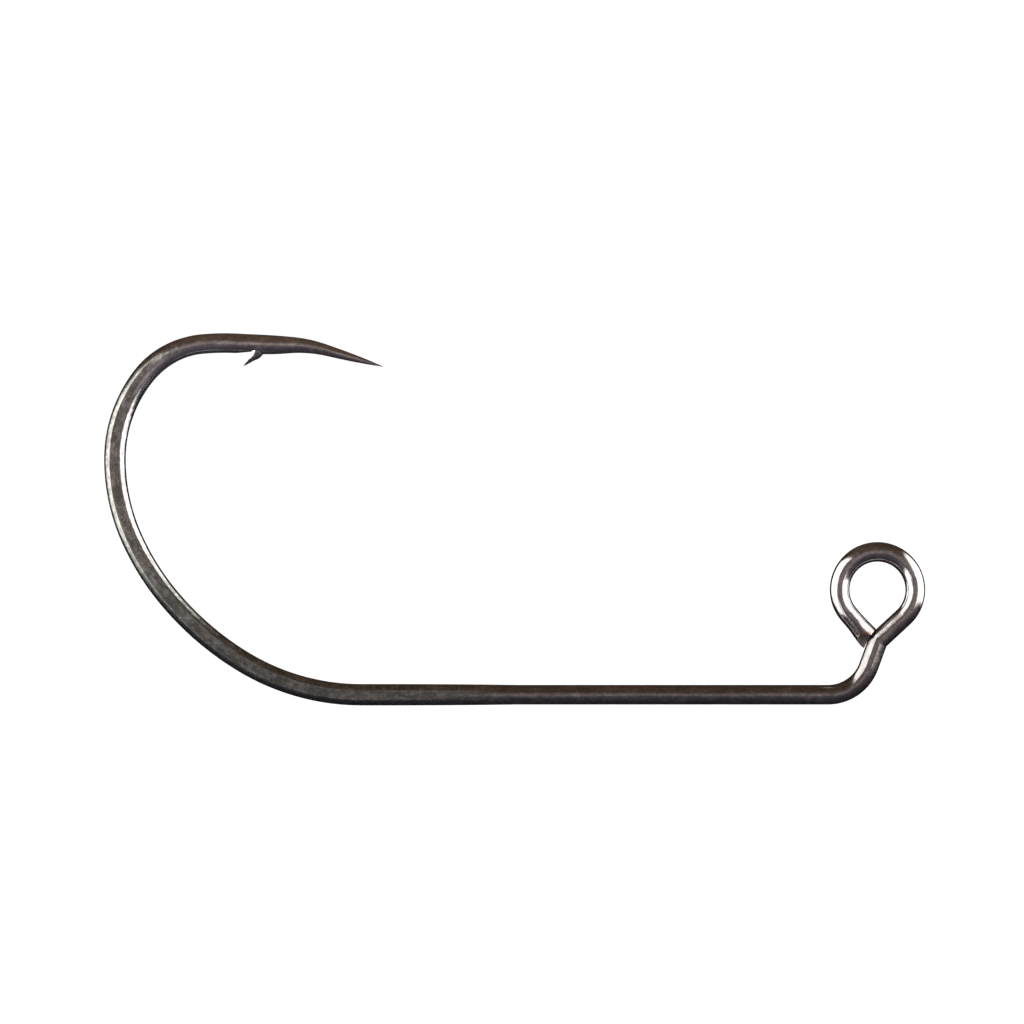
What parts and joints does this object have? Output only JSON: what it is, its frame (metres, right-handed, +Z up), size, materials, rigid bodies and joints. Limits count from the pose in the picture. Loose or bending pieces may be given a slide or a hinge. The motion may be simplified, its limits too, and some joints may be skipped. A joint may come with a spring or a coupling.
{
  "type": "jig hook",
  "caption": "Bare jig hook: one bent steel wire with a ring eye, upturned neck, straight round shank, flat-forged bend, barb and needle point.",
  "frame": {"origin": "centre of the ring eye, in the middle plane of the wire", "axes": "the hook lies in the XZ plane; +X from the bend towards the eye, parallel to the straight shank; +Y across the wire, square to the forged flats; +Z up, the point riding above the shank"},
  "size_m": [0.048, 0.0012, 0.0218],
  "materials": {
    "plated_wire": "black-nickel plated steel, polished, with faint drawing lines and small pits"
  },
  "bodies": {
    "root": {"jig_hook": "plated_wire"}
  },
  "joints": []
}
